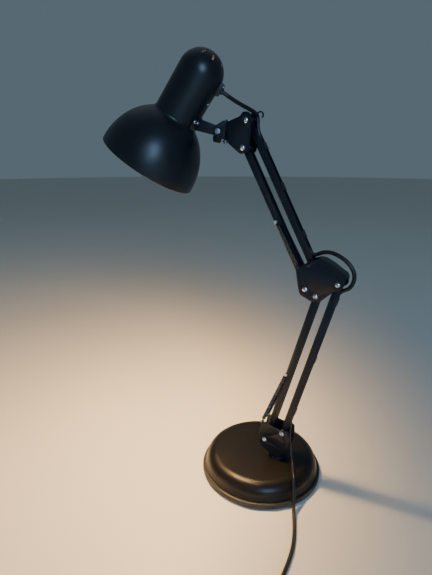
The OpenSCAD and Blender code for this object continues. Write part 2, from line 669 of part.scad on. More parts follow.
module head_screws() {
    color(zinc) at_head() {
        for (a = [-30, -16, 16, 30]) rotate([0, 0, a]) translate([saddle_r - 0.1, 0, saddle_up + 2.5]) pan_screw(2.6);
        for (y = [-4, 4]) translate([neck_r + gland_t - 0.1, y, gland_up + (y < 0 ? 5 : -5)]) pan_screw(1.8, 1.2);
        rotate([0, 0, -12]) translate([neck_r - 0.4, 0, saddle_up + 29]) pan_screw(2, 1.4);
    }
}
module shade() {
    close = asin(joint_up / shade_h);
    steps = 18;
    in_r = shade_r - shade_wall;
    in_h = shade_h - shade_wall;
    in_close = asin((joint_up - shade_wall) / in_h);
    sleeve = neck_r - shade_wall;
    color(black) at_head() union() {
        rotate_extrude($fn = 120) polygon(concat(
            [for (i = [0:steps]) let (a = close * i / steps) [shade_r * cos(a), shade_h * sin(a)]],
            [[sleeve, joint_up], [sleeve, joint_up + 6], [sleeve - 1, joint_up + 6], [sleeve - 1, joint_up],
             [holder_r, joint_up], [holder_r, joint_up - shade_wall]],
            [for (i = [steps:-1:0]) let (a = in_close * i / steps) [in_r * cos(a), in_h * sin(a)]]));
        rotate_extrude($fn = 120) translate([shade_r - 1.1, 1.1]) circle(r = 1.1, $fn = 16);
    }
}
module neck() {
    vents = 8;
    color(black) at_head() difference() {
        rotate_extrude($fn = 96) polygon(concat(
            [[neck_r, joint_up]], arc([0, dome_up], neck_r, 0, 90, 14),
            arc([0, dome_up], neck_r - shade_wall, 90, 0, 14), [[neck_r - shade_wall, joint_up]]));
        for (i = [0:vents - 1]) rotate([0, 0, 360 * (i + 0.5) / vents])
            translate([neck_r * 0.42, -1.3, dome_up + neck_r * 0.5]) cube([neck_r * 0.3, 2.6, neck_r]);
    }
}
holder_r = 20;
mouth_up = joint_up - 8;
cap_r = 13.3;
module lampholder() {
    color(soft_black) at_head() rotate_extrude() polygon([
        [cap_r + 0.5, mouth_up], [holder_r - 2, mouth_up], [holder_r - 2, joint_up - shade_wall - 3],
        [holder_r + 3, joint_up - shade_wall - 3], [holder_r + 3, joint_up - shade_wall], [holder_r, joint_up - shade_wall],
        [holder_r, joint_up + 26], [holder_r - 3, joint_up + 34], [10, joint_up + 42], [0, joint_up + 42],
        [0, joint_up + 28], [cap_r + 0.5, joint_up + 28]]);
}
module holder_contacts() {
    color("#b08d3c") at_head() {
        translate([0, 0, mouth_up + 28.6]) cylinder(h = joint_up + 28 - mouth_up - 28.6, r = 3);
        difference() {
            translate([0, 0, mouth_up + 12]) cylinder(h = 20, r = cap_r + 0.5);
            translate([0, 0, mouth_up + 11]) cylinder(h = 22, r = cap_r + 0.1);
        }
    }
}
module bulb_cap() {
    wall = 0.6;
    color("#b9bdc2") at_head() translate([0, 0, mouth_up]) rotate_extrude() polygon([
        [cap_r - wall, 0], [cap_r, 0], [cap_r, 24], [6, 26.4], [4, 28.6], [0, 28.6], [0, 27], [cap_r - wall, 23]]);
}
module bulb_glass() {
    globe = bulb_d / 2;
    globe_up = mouth_up - 34;
    stem = cap_r - 0.8;
    wall = 1.2;
    waist = 42;
    color("#f4efe4") at_head() rotate_extrude() polygon(concat(
        arc([0, globe_up], globe, -90, waist, 16), [[stem + 3, mouth_up - 7], [stem, mouth_up],
        [stem - wall, mouth_up], [stem + 3 - wall, mouth_up - 7]], arc([0, globe_up], globe - wall, waist, -90, 16)));
}
gland_t = 4;
gland_w = 14;
gland_h = 18;
module cord_gland() {
    nozzle = 3.4;
    color(soft_black) at_head() difference() {
        union() {
            translate([neck_r - 3, 0, 0]) slab(-gland_w / 2, gland_w)
                polygon(rounded([[0, gland_up - gland_h / 2], [gland_t + 3, gland_up - gland_h / 2],
                    [gland_t + 3, gland_up + gland_h / 2], [0, gland_up + gland_h / 2]], [0.2, 3, 3, 0.2]));
            translate([neck_r + gland_t - 1, 0, gland_up]) rotate([0, 90, 0]) rotate_extrude()
                polygon([[0, 0], [4.6, 0], [4.6, 1.6], [3.7, nozzle], [0, nozzle]]);
        }
        cylinder(h = head_h, r = neck_r, $fn = 96);
        translate([neck_r - 6, 0, gland_up]) rotate([0, 90, 0]) cylinder(h = 30, r = cord_d / 2 + side_gap);
    }
}

// ---------- balance springs ----------
// Runs child shapes along +Z from the hook to the clip, once on each side of the channel
module at_spring(from, to) {
    d = to - from;
    for (side = [-1, 1]) translate([from[0], side * spring_y, from[1]]) rotate([0, atan2(d[0], d[1]), 0]) children();
}
loop_r = stud_r + 0.4 + spring_wire;
loop_len = loop_r + 3.4;
module spring_loop(reach) {
    wire = spring_wire / 2;
    difference() {
        bar([0, 0], -wire, wire, loop_r);
        bar([0, 0], -1, 1, loop_r - spring_wire);
    }
    translate([0, 0, loop_r - wire]) cylinder(h = reach - loop_r + wire, r = wire);
}
module spring_coils(from, to) {
    wire_in = spring_wire / 2;
    len = norm(to - from);
    at_spring(from, to) {
        spring_loop(loop_len + wire_in);
        difference() {
            translate([0, 0, loop_len]) cylinder(h = len - 2 * loop_len, r = spring_d / 2);
            translate([0, 0, loop_len + spring_wire]) cylinder(h = len - 2 * loop_len - 2 * spring_wire,
                r = spring_d / 2 - spring_wire);
        }
    }
}
module spring_top(from, to) {
    at_spring(to, from) spring_loop(loop_len - side_gap);
}
module lower_spring_coils() { color(steel) spring_coils(lower_hook, lower_clip); }
module lower_spring_loops() { color(steel) spring_top(lower_hook, lower_clip); }
module upper_spring_coils() { color(steel) spring_coils(upper_hook, upper_clip); }
module upper_spring_loops() { color(steel) spring_top(upper_hook, upper_clip); }

// ---------- lead, switch and plug ----------
module lead() {
    color(soft_black) {
        cord(lead_route);
        cord(lead_route_two);
        cord(lead_route_three);
    }
}
module lead_coil() {
    color(soft_black) translate([coil_at[0], coil_at[1], 0]) rotate_extrude($fn = 72)
        polygon([[coil_in - cord_d / 2, 0], [coil_out + cord_d / 2, 0], [coil_out + cord_d / 2, cord_d],
            [coil_out - coil_pitch / 2 + cord_d / 2, coil_h], [coil_in + coil_pitch / 2 - cord_d / 2, coil_h],
            [coil_in - cord_d / 2, cord_d]]);
}
// Strap round one side of the coil
module lead_tie() {
    t = 1.2;
    mid = (coil_in + coil_out) / 2;
    half = (coil_out - coil_in + cord_d) / 2 + side_gap;
    high = coil_h + side_gap;
    color(nylon) translate([coil_at[0], coil_at[1] + mid, 0]) slab_x(-2.5, 5) difference() {
        polygon([[-half - t, 0], [half + t, 0], [half + t, high + t], [-half - t, high + t]]);
        polygon([[-half, -1], [half, -1], [half, high], [-half, high]]);
    }
}
module slab_x(x0, t) {
    translate([x0, 0, 0]) rotate([90, 0, 90]) linear_extrude(t) children();
}
module at_switch() {
    translate([switch_at[0], switch_at[1], 0]) rotate([0, 0, switch_turn]) children();
}
// Tapered sleeve round the lead, from z = 0 along +Z
module relief() {
    r = cord_d / 2;
    rotate_extrude() polygon([[r, -0.5], [r + relief_t, -0.5], [r + 1, relief_l], [r, relief_l]]);
}
rocker_l = 20;
rocker_w = 11;
rocker_drop = 8;
rocker_up = 5;                                 // the axle's height over the well's floor
axle_r = 1.5;
axle_l = 1.5;
module switch_case() {
    half_l = switch_l / 2;
    half_w = switch_w / 2;
    floor_z = switch_h - rocker_drop;
    well_w = rocker_w / 2 + side_gap;
    color(soft_black) at_switch() {
        difference() {
            linear_extrude(switch_h) polygon(rounded(
                [[-half_w, -half_l], [half_w, -half_l], [half_w, half_l], [-half_w, half_l]], 7));
            translate([-well_w, -rocker_l / 2 - side_gap, floor_z])
                cube([2 * well_w, rocker_l + 2 * side_gap, rocker_drop + 1]);
            translate([-well_w - axle_l, 0, floor_z + rocker_up]) rotate([0, 90, 0])
                cylinder(h = 2 * (well_w + axle_l), r = axle_r + run_gap);
            for (a = [0, 180]) rotate([0, 0, a]) translate([0, half_l - bore_l, entry_h]) rotate([-90, 0, 0])
                cylinder(h = bore_l + 1, r = cord_d / 2);
        }
        for (a = [0, 180]) rotate([0, 0, a]) translate([0, half_l, entry_h]) rotate([-90, 0, 0]) relief();
    }
}
// Rocker key on a cross axle, one end up
module switch_rocker() {
    half_l = rocker_l / 2 - 0.6;
    color(soft_black) at_switch() translate([0, 0, switch_h - rocker_drop + rocker_up]) {
        intersection() {
            slab_x(-rocker_w / 2, rocker_w) polygon(rounded(
                [[-half_l, -1.2], [0, -2.6], [half_l, -1.2], [half_l, 3.1], [0, 1.8], [-half_l, 4.8]], 0.8));
            rotate([0, 90, 0]) cylinder(h = rocker_w, r = rocker_l / 2 - 0.1, center = true);
        }
        rotate([0, 90, 0]) cylinder(h = rocker_w + 2 * axle_l, r = axle_r, center = true);
    }
}
module at_plug() {
    translate([plug_at[0], plug_at[1], 0]) rotate([0, 0, 180]) children();
}
pin_r = 2;
pin_l = 19;
pin_span = 18.6;
module plug_body() {
    half_w = plug_w / 2;
    color(soft_black) at_plug() {
        difference() {
            linear_extrude(plug_h) polygon(rounded(
                [[-plug_tail, -5], [-plug_tail, 5], [6, half_w - 4], [plug_l - 4, half_w], [plug_l, half_w],
                 [plug_l, -half_w], [plug_l - 4, -half_w], [6, 4 - half_w]], [3, 3, 8, 6, 3, 3, 6, 8]));
            translate([-plug_tail - 1, 0, plug_h / 2]) rotate([0, 90, 0]) cylinder(h = bore_l + 1, r = cord_d / 2);
        }
        translate([-plug_tail, 0, plug_h / 2]) rotate([0, -90, 0]) relief();
    }
}
module plug_pins() {
    color(zinc) at_plug() for (y = [-pin_span / 2, pin_span / 2]) translate([plug_l, y, plug_h / 2]) rotate([0, 90, 0]) {
        cylinder(h = pin_l - 1, r = pin_r);
        translate([0, 0, pin_l - 1]) cylinder(h = 1, r1 = pin_r, r2 = pin_r - 0.8);
    }
}

base_pad();
base_rim();
base_ballast();
base_cover();
base_socket();
base_screws();
swivel_post();
bracket_foot();
lower_plate_near();
lower_plate_far();
lower_liners();
lower_rivets();
lower_front_channel();
lower_front_bushes();
lower_spring_pin();
lower_rear_channel();
lower_rear_bushes();
lower_cord();
elbow_plate_near();
elbow_plate_far();
elbow_web();
elbow_rivets();
upper_front_channel();
upper_front_bushes();
upper_spring_pin();
upper_rear_channel();
upper_rear_bushes();
upper_cord();
head_plate_near();
head_plate_far();
head_hinge_block();
head_rivets();
head_cord_rear();
head_yoke();
yoke_pin();
tilt_bolt();
head_cord_front();
tilt_knob();
stub_arm();
stub_saddle();
head_screws();
shade();
neck();
lampholder();
holder_contacts();
bulb_cap();
bulb_glass();
cord_gland();
lower_spring_coils();
lower_spring_loops();
upper_spring_coils();
upper_spring_loops();
lead();
lead_coil();
lead_tie();
switch_case();
switch_rocker();
plug_body();
plug_pins();
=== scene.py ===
"""Looks of the architect desk lamp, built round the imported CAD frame. Metres, +Z up."""
import bpy
import bmesh
import json
import math
from mathutils import Matrix, Vector


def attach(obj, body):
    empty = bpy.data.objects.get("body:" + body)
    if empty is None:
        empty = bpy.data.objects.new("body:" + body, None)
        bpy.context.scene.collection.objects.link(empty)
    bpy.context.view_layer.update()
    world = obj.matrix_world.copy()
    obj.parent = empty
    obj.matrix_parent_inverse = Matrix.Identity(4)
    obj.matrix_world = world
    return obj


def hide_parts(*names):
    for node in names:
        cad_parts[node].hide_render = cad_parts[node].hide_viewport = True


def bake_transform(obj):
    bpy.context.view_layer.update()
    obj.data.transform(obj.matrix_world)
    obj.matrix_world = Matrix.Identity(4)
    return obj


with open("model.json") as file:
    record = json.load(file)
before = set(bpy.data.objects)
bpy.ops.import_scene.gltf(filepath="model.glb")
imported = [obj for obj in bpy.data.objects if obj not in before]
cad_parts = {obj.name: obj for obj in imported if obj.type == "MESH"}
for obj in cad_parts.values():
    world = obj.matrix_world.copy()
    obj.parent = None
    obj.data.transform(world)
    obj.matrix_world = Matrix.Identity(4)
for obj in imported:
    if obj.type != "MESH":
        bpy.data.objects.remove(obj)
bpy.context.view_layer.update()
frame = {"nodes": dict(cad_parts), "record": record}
nodes = frame["nodes"]
record = frame["record"]
body_of_node = {n: b for b, names in record["behaviour"]["bodies"].items() for n in names}
slot_of_node = {p["node"]: p["material_slot"] for p in record["subparts"]}
MM = 0.001

# ---------- camera ----------
view = bpy.data.cameras.new("view")
view.lens = 27.16
view.sensor_width = 36
view.clip_start = 0.02
camera = bpy.data.objects.new("view", view)
camera.location = (0.238, -0.53914, 0.48324)
camera.rotation_euler = (math.radians(90) - 0.301, 0, 0.538)
bpy.context.scene.collection.objects.link(camera)
bpy.context.scene.camera = camera

# ---------- places of the pivots, in the arms' plane (x, z), in mm ----------
LOWER_LEN, UPPER_LEN, PIVOT_SPAN = 251, 202, 34
LOWER_LEAN, UPPER_LEAN = 14.74, -28.34
CORD_D = 5.2


def along(p, angle, length, off=0):
    """The point length along a direction angle degrees from upright, off to its +X side."""
    a = math.radians(angle)
    return (p[0] + length * math.sin(a) + off * math.cos(a), p[1] + length * math.cos(a) - off * math.sin(a))


foot_front = (10.5, 61.4)
foot_rear = along(foot_front, 53.8, PIVOT_SPAN)
elbow_low_front = along(foot_front, LOWER_LEAN, LOWER_LEN)
elbow_high_front = (elbow_low_front[0] - 14.8, elbow_low_front[1] + 7.6)
elbow_high_rear = along(elbow_high_front, 7.2, PIVOT_SPAN)
head_front = along(elbow_high_front, UPPER_LEAN, UPPER_LEN)
lower_hook = (foot_front[0] - 6.5, foot_front[1] + 28.6)
lower_clip = along(foot_front, LOWER_LEAN, 121.6, -3)
upper_hook = (elbow_high_front[0] - 6.1, elbow_high_front[1] + 18.3)
upper_clip = along(elbow_high_front, UPPER_LEAN, 96.5)


def flat(p, y=0):
    """The point (x, z) of the arms' plane in space, y to the far side."""
    return Vector((p[0], y, p[1]))


def low_rod(off, length):
    """A point by the lower rear channel, length up from its pivot."""
    return flat(along(foot_rear, LOWER_LEAN, length, off))


def up_rod(off, length):
    """A point by the upper rear channel, length up from its pivot."""
    return flat(along(elbow_high_rear, UPPER_LEAN, length, off))


def turn(axis, degrees):
    return Matrix.Rotation(math.radians(degrees), 4, axis)


PIN_LEAN, HEAD_TURN, HEAD_LEAN = 9.6, 23.7, 34.8
at_pin = (Matrix.Translation((head_front[0] - 29.7, 0, head_front[1] + 22.5))
          @ turn("Y", PIN_LEAN) @ turn("Z", HEAD_TURN))
at_head = (at_pin @ Matrix.Translation((-12, 0, -2.8)) @ turn("Y", HEAD_LEAN - PIN_LEAN)
           @ Matrix.Translation((-58.2, 0, -91.9)))
at_switch = Matrix.Translation((109, -226, 0)) @ turn("Z", 3)
at_plug = Matrix.Translation((-20, -318, 0)) @ turn("Z", 180)

# ---------- materials ----------


class Finish:
    """A procedural surface: one Principled shader fed by patterns on object coordinates."""

    def __init__(self, name, roughness, metallic=0.0, **sockets):
        self.material = bpy.data.materials.new(name)
        self.material.use_nodes = True
        self.tree = self.material.node_tree
        self.shader = self.tree.nodes["Principled BSDF"]
        self.shader.inputs["Metallic"].default_value = metallic
        self.shader.inputs["Roughness"].default_value = roughness
        for socket, value in sockets.items():
            self.shader.inputs[socket.replace("_", " ")].default_value = value
        self.place = self.node("ShaderNodeTexCoord").outputs["Object"]
        self.bump = None

    def node(self, kind):
        return self.tree.nodes.new(kind)

    def link(self, a, b):
        self.tree.links.new(a, b)

    def mapped(self, scale):
        m = self.node("ShaderNodeMapping")
        m.inputs["Scale"].default_value = scale
        self.link(self.place, m.inputs["Vector"])
        return m.outputs["Vector"]

    def noise(self, scale, detail=3.0, rough=0.5):
        n = self.node("ShaderNodeTexNoise")
        n.inputs["Scale"].default_value = scale
        n.inputs["Detail"].default_value = detail
        n.inputs["Roughness"].default_value = rough
        self.link(self.place, n.inputs["Vector"])
        return n.outputs["Fac"]

    def voronoi(self, scale):
        v = self.node("ShaderNodeTexVoronoi")
        v.inputs["Scale"].default_value = scale
        self.link(self.place, v.inputs["Vector"])
        return v.outputs["Distance"]

    def wave(self, scale, vector, distortion):
        w = self.node("ShaderNodeTexWave")
        w.inputs["Scale"].default_value = scale
        w.inputs["Distortion"].default_value = distortion
        self.link(vector, w.inputs["Vector"])
        return w.outputs["Fac"]

    def colours(self, source, *stops):
        """Base colour from a pattern, through (position, colour) stops."""
        ramp = self.node("ShaderNodeValToRGB")
        band = ramp.color_ramp
        while len(band.elements) < len(stops):
            band.elements.new(0.5)
        for element, (position, colour) in zip(band.elements, stops):
            element.position = position
            element.color = (*colour, 1)
        self.link(source, ramp.inputs["Fac"])
        self.link(ramp.outputs["Color"], self.shader.inputs["Base Color"])

    def rough(self, source, low, high):
        """Roughness from a pattern, whose middle values are stretched over low to high."""
        m = self.node("ShaderNodeMapRange")
        for socket, value in (("From Min", 0.3), ("From Max", 0.7), ("To Min", low), ("To Max", high)):
            m.inputs[socket].default_value = value
        self.link(source, m.inputs["Value"])
        self.link(m.outputs["Result"], self.shader.inputs["Roughness"])

    def relief(self, source, depth):
        """Adds a bump layer, depth metres high."""
        b = self.node("ShaderNodeBump")
        b.inputs["Distance"].default_value = depth
        b.inputs["Strength"].default_value = 1
        self.link(source, b.inputs["Height"])
        if self.bump is not None:
            self.link(self.bump, b.inputs["Normal"])
        self.bump = b.outputs["Normal"]
        self.link(self.bump, self.shader.inputs["Normal"])


def black_coat(name, tone, low, high, grain, depth, **sockets):
    """Baked black paint: fine orange peel over faint cloudiness."""
    f = Finish(name, low, **sockets)
    cloud = f.noise(14, 4)
    dark = [c * 0.75 for c in tone]
    f.colours(cloud, (0.32, dark), (0.62, tone), (0.86, [c * 1.5 + 0.002 for c in tone]))
    f.rough(f.noise(38, 5, 0.6), low, high)
    f.relief(f.noise(grain, 2), depth)
    f.relief(f.noise(grain * 4.5, 2), depth * 0.35)
    return f


arm_paint = black_coat("arm_paint", (0.005, 0.0085, 0.0155), 0.33, 0.45, 700, 0.00005,
                       Specular_IOR_Level=0.36)
base_paint = black_coat("base_paint", (0.005, 0.0048, 0.0052), 0.31, 0.42, 520, 0.00004,
                        Specular_IOR_Level=0.3)
shade_paint = black_coat("shade_paint", (0.0048, 0.0068, 0.011), 0.33, 0.41, 420, 0.00003)

white_enamel = Finish("white_enamel", 0.35)
white_enamel.colours(white_enamel.noise(20), (0.3, (0.72, 0.7, 0.66)), (0.7, (0.82, 0.81, 0.78)))
white_enamel.rough(white_enamel.noise(60, 4), 0.28, 0.42)
white_enamel.relief(white_enamel.noise(500, 2), 0.00003)


def moulded(name, tone, low, high, grain=900, depth=0.00006):
    """Moulded plastic with a spark-eroded grain."""
    f = Finish(name, low)
    f.colours(f.noise(26, 4), (0.3, [c * 0.8 for c in tone]), (0.75, [c * 1.3 for c in tone]))
    f.rough(f.noise(90, 4), low, high)
    f.relief(f.voronoi(grain), depth)
    f.relief(f.noise(grain * 2.2, 2), depth * 0.5)
    return f


black_plastic = moulded("black_plastic", (0.012, 0.012, 0.0125), 0.42, 0.58)
rubber = moulded("rubber", (0.016, 0.016, 0.016), 0.72, 0.9, 600, 0.0001)

sheath = Finish("sheath", 0.34)
sheath.colours(sheath.noise(60, 4), (0.3, (0.005, 0.005, 0.0058)), (0.75, (0.009, 0.009, 0.01)))
sheath.rough(sheath.noise(180, 4), 0.3, 0.46)
sheath.relief(sheath.noise(1100, 2), 0.00004)
sheath.relief(sheath.noise(120, 3), 0.00008)


def plated(name, tone, low, high, scale=900, depth=0.00002):
    """Plated or drawn metal with fine scratches, faint blooms and handling marks."""
    f = Finish(name, low, 1.0)
    bloom = f.noise(120, 5, 0.6)
    f.colours(bloom, (0.25, [c * 0.7 for c in tone]), (0.6, tone), (0.85, [min(1, c * 1.1) for c in tone]))
    f.rough(f.noise(300, 5, 0.6), low, high)
    f.relief(f.noise(scale, 2), depth)
    f.relief(f.wave(scale * 0.35, f.mapped((1, 1, 0.2)), 6), depth * 0.4)
    return f


zinc = plated("zinc", (0.72, 0.75, 0.78), 0.16, 0.34)
dark_zinc = plated("dark_zinc", (0.33, 0.37, 0.4), 0.3, 0.46)
drawn_steel = plated("drawn_steel", (0.42, 0.43, 0.45), 0.25, 0.45)
black_wire = plated("black_wire", (0.13, 0.13, 0.132), 0.2, 0.3, 1500)
brass = plated("brass", (0.78, 0.58, 0.26), 0.22, 0.4)
nickel = plated("nickel", (0.76, 0.74, 0.7), 0.14, 0.28)
cap_metal = plated("cap_metal", (0.74, 0.75, 0.77), 0.22, 0.4)

cast_iron = Finish("cast_iron", 0.7, 0.6)
cast_iron.colours(cast_iron.noise(70, 5), (0.3, (0.07, 0.07, 0.072)), (0.7, (0.16, 0.155, 0.15)))
cast_iron.rough(cast_iron.noise(150), 0.55, 0.85)
cast_iron.relief(cast_iron.noise(420, 5), 0.0004)

opal_glass = Finish("opal_glass", 0.3, Subsurface_Weight=0.0)
opal_glass.shader.inputs["Emission Color"].default_value = (1.0, 0.72, 0.42, 1)
opal_glass.shader.inputs["Emission Strength"].default_value = 3.2
opal_glass.colours(opal_glass.noise(30), (0.3, (0.86, 0.83, 0.76)), (0.7, (0.92, 0.9, 0.85)))
opal_glass.rough(opal_glass.noise(90), 0.24, 0.36)
opal_glass.relief(opal_glass.noise(240, 2), 0.00002)

finish_of_slot = {
    "black_paint": arm_paint, "shade_paint": shade_paint, "black_plastic": black_plastic,
    "foot_rubber": rubber,
    "ballast_iron": cast_iron, "zinc_steel": zinc, "bare_steel": drawn_steel, "spring_steel": black_wire,
    "cord_pvc": sheath, "contact_brass": brass, "cap_metal": cap_metal, "opal_glass": opal_glass,
    "pin_nickel": nickel}

# ---------- making pieces ----------
SHARP, SOFT_SHARP, BROKEN = math.radians(38), math.radians(28), math.radians(30)


def show(name, mesh, finishes, body, replaces=()):
    """A finished mesh as a piece of the lamp."""
    piece = bpy.data.objects.new(name, mesh)
    bpy.context.scene.collection.objects.link(piece)
    mesh.materials.clear()
    for finish in finishes if isinstance(finishes, (list, tuple)) else [finishes]:
        mesh.materials.append(finish.material)
    if isinstance(body, str):
        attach(piece, body)
    if replaces:
        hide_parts(*replaces)
    return piece


def smoothed(bm, sharp=SHARP):
    """Shades every face smooth, and keeps the edges that turn by more than sharp."""
    for face in bm.faces:
        face.smooth = True
    for edge in bm.edges:
        if len(edge.link_faces) == 2 and edge.calc_face_angle(0) > sharp:
            edge.smooth = False


def closed_mesh(name, bm, matrix=None):
    """A bmesh in mm, placed and turned into a mesh in metres."""
    bmesh.ops.remove_doubles(bm, verts=bm.verts, dist=1e-4)
    bmesh.ops.recalc_face_normals(bm, faces=bm.faces)
    smoothed(bm)
    if matrix is not None:
        bmesh.ops.transform(bm, matrix=matrix, verts=bm.verts)
    bmesh.ops.scale(bm, vec=(MM, MM, MM), verts=bm.verts)
    mesh = bpy.data.meshes.new(name)
    bm.to_mesh(mesh)
    bm.free()
    return mesh


def lathe(bm, profile, steps=64, closed=True):
    """Spins (radius, height) points round Z."""
    verts = [bm.verts.new((r, 0, z)) for r, z in profile]
    edges = [bm.edges.new((a, b)) for a, b in zip(verts, verts[1:] + ([verts[0]] if closed else []))]
    bmesh.ops.spin(bm, geom=verts + edges, cent=(0, 0, 0), axis=(0, 0, 1), dvec=(0, 0, 0),
                   angle=2 * math.pi, steps=steps, use_merge=True, use_duplicate=False)


def lathed(name, profile, matrix, finish, body, replaces=(), steps=64, closed=False):
    """A piece spun from a profile."""
    bm = bmesh.new()
    lathe(bm, profile, steps, closed)
    return show(name, closed_mesh(name, bm, matrix), finish, body, replaces)


def bow(centre, radius, start, end, steps=8):
    """Points (radius, height) of an arc, angles in degrees."""
    return [(centre[0] + radius * math.cos(math.radians(start + (end - start) * i / steps)),
             centre[1] + radius * math.sin(math.radians(start + (end - start) * i / steps)))
            for i in range(steps + 1)]


def softened(node, width, finish=None):
    """The CAD node with its edges broken, as pressed, cast and painted edges are."""
    bm = bmesh.new()
    bm.from_mesh(nodes[node].data)
    bmesh.ops.remove_doubles(bm, verts=bm.verts, dist=1e-6)
    bmesh.ops.dissolve_limit(bm, angle_limit=math.radians(0.4), verts=bm.verts, edges=bm.edges)
    edges = [e for e in bm.edges if len(e.link_faces) == 2 and e.calc_face_angle(0) > BROKEN]
    bmesh.ops.bevel(bm, geom=edges, offset=width * MM, segments=2, profile=0.5, affect="EDGES",
                    clamp_overlap=True, material=-1)
    smoothed(bm, SOFT_SHARP)
    mesh = bpy.data.meshes.new(node + "_soft")
    bm.to_mesh(mesh)
    bm.free()
    slot = slot_of_node[node]
    return show(node + "_soft", mesh, finish or finish_of_slot[slot], body_of_node[node], [node])


def smooth_line(points, step):
    """A smooth curve through the points, as a list of vectors."""
    p = [Vector(q) for q in points]
    line = []
    for i in range(len(p) - 1):
        a, b, c, d = p[max(i - 1, 0)], p[i], p[i + 1], p[min(i + 2, len(p) - 1)]
        count = max(1, round((c - b).length / step))
        for k in range(count):
            t = k / count
            line.append(0.5 * (2 * b + (c - a) * t + (2 * a - 5 * b + 4 * c - d) * t ** 2
                               + (3 * b - a - 3 * c + d) * t ** 3))
    line.append(p[-1])
    return line


def tube_mesh(name, line, radius, sides=3):
    """A round tube along a line in mm, as a mesh in metres."""
    curve = bpy.data.curves.new(name, "CURVE")
    curve.dimensions = "3D"
    curve.bevel_depth = radius * MM
    curve.bevel_resolution = sides
    curve.use_fill_caps = True
    spline = curve.splines.new("POLY")
    spline.points.add(len(line) - 1)
    for point, place in zip(spline.points, line):
        point.co = (*(place * MM), 1)
    spline.use_smooth = True
    holder = bpy.data.objects.new(name, curve)
    bpy.context.scene.collection.objects.link(holder)
    bpy.context.view_layer.update()
    mesh = bpy.data.meshes.new_from_object(holder.evaluated_get(bpy.context.evaluated_depsgraph_get()))
    mesh.name = name
    bpy.data.objects.remove(holder)
    bpy.data.curves.remove(curve)
    for polygon in mesh.polygons:
        polygon.use_smooth = True
    return mesh


# ---------- the free lead: bracket, switch, coil and plug ----------
lead_h = CORD_D / 2                     # the middle of a cord that lies on the floor
entry_h = lead_h + 2.5                  # and where it goes into the switch
lead_split = Vector((45.6, 0, 76))


def from_switch(s):
    """A point on the switch's long axis, at the height of the cord."""
    return at_switch @ Vector((0, s, entry_h))


def coil_line():
    """Neat turns: each is a full circle that steps over to the next in its last sixth."""
    centre = Vector((45, -281, 0))
    pitch, inner = CORD_D + 0.2, 4.1 * CORD_D
    low = [inner + pitch * k for k in (3, 2, 1, 0)]
    high = [inner + pitch * (k + 0.5) for k in (0, 1, 2)]
    per_turn, start, step_share, climb = 36, -71.0, 1 / 6, 0.25
    line = []

    def put(turns, radius, z):
        a = math.radians(start - 360 * turns)
        line.append(centre + Vector((radius * math.cos(a), radius * math.sin(a), z)))

    def ease(t):
        t = min(max(t, 0), 1)
        return t * t * (3 - 2 * t)

    def stepped(radii, k, share):
        """The radius of turn k, which steps over to the next one's in its last share."""
        after = radii[min(k + 1, len(radii) - 1)]
        return radii[k] + (after - radii[k]) * ease((share - 1 + step_share) / step_share)

    for k in range(len(low)):
        for i in range(per_turn):
            put(k + i / per_turn, stepped(low, k, i / per_turn), lead_h)
    lifted = 3 * lead_h
    steps = int(per_turn * climb)
    for i in range(steps):
        t = ease(i / steps)
        put(len(low) + climb * i / steps, low[-1] + (high[0] - low[-1]) * ease(2 * i / steps - 1),
            lead_h + (lifted - lead_h) * ease(1.6 * i / steps))
    first, high_turns = len(low) + climb, 2.83
    for i in range(int(per_turn * high_turns)):
        turns = i / per_turn
        put(first + turns, stepped(high, int(turns), turns % 1), lifted)
    return line


lead_points = ([
    lead_split, (46, 0, 66), (48.6, -1.4, 54), (52, -4.5, 43.6), (56.2, -10.4, 38.4), (60.6, -19, 36.6),
    (65.6, -30, 36), (70.6, -40.8, 31.9), (74.8, -50, 22.6), (79, -59.4, 12), (84, -70.4, 4.8),
    (89.6, -82.6, lead_h), (94.4, -95, lead_h), (99, -109, lead_h), (102.4, -123, lead_h),
    (104.4, -138, lead_h), (105.4, -153, lead_h), (106.2, -164, lead_h + 1.4)]
    + [from_switch(s) for s in (51, 40, 25, 0, -25, -40, -51)]
    + [(112, -288, lead_h + 1), (109.4, -299, lead_h), (101.6, -309, lead_h), (89, -315, lead_h),
       (74, -317.4, lead_h)])
plug_points = [(34, -317.2, 3 * lead_h), (26, -318, 7.2), (10, -318, 7), (-1, -318, 7), (-16, -318, 7)]
lead_line = smooth_line(lead_points + [tuple(p) for p in coil_line()] + plug_points, 4.5)
lead_cord = show("lead_cord", tube_mesh("lead_cord", lead_line, lead_h), sheath, None,
                 ["lead", "lead_coil"])
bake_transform(lead_cord)

# ---------- the lamp's own cord, held along the arms ----------
NECK_R, GLAND_UP, GLAND_T = 30.3, 135, 4
GLAND_R = NECK_R + GLAND_T + 0.6


def from_head(x, y, z):
    """A point given upright, with the shade's rim at height 0, on the leaning head."""
    return at_head @ Vector((x, y, z))


